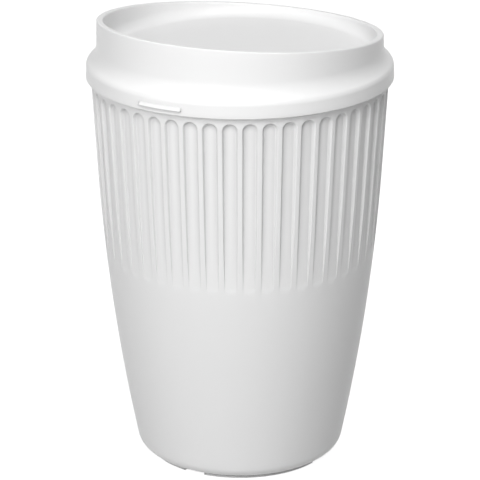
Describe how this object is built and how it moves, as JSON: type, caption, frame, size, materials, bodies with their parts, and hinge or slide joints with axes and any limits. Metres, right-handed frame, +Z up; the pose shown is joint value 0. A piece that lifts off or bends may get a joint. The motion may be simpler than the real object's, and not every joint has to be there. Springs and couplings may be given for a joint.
{
  "type": "travel mug",
  "caption": "Double-walled travel mug with a fluted grip, a notched foot ring and a push-on lid with a slanted drinking ring.",
  "frame": {"origin": "middle of the foot ring's underside, where the mug meets the table", "axes": "+Z up the mug's axis towards the lid; the thumb ledge, the drinking slot and the high side of the lid's ring face -Y; X is left to right"},
  "size_m": [0.0924, 0.093, 0.1396],
  "materials": {
    "shell_plastic": "satin white moulded plastic",
    "liner_plastic": "smooth white moulded plastic",
    "lid_plastic": "satin white moulded plastic",
    "seal_silicone": "soft translucent pale silicone"
  },
  "bodies": {
    "cup": {"outer_shell": "shell_plastic", "inner_liner": "liner_plastic"},
    "lid": {"lid": "lid_plastic", "lid_seal": "seal_silicone"}
  },
  "joints": [
    {"name": "lid_lift", "type": "slide", "parent": "cup", "child": "lid", "axis": [0, 0, 1], "range_m": [0, 0.04]}
  ]
}
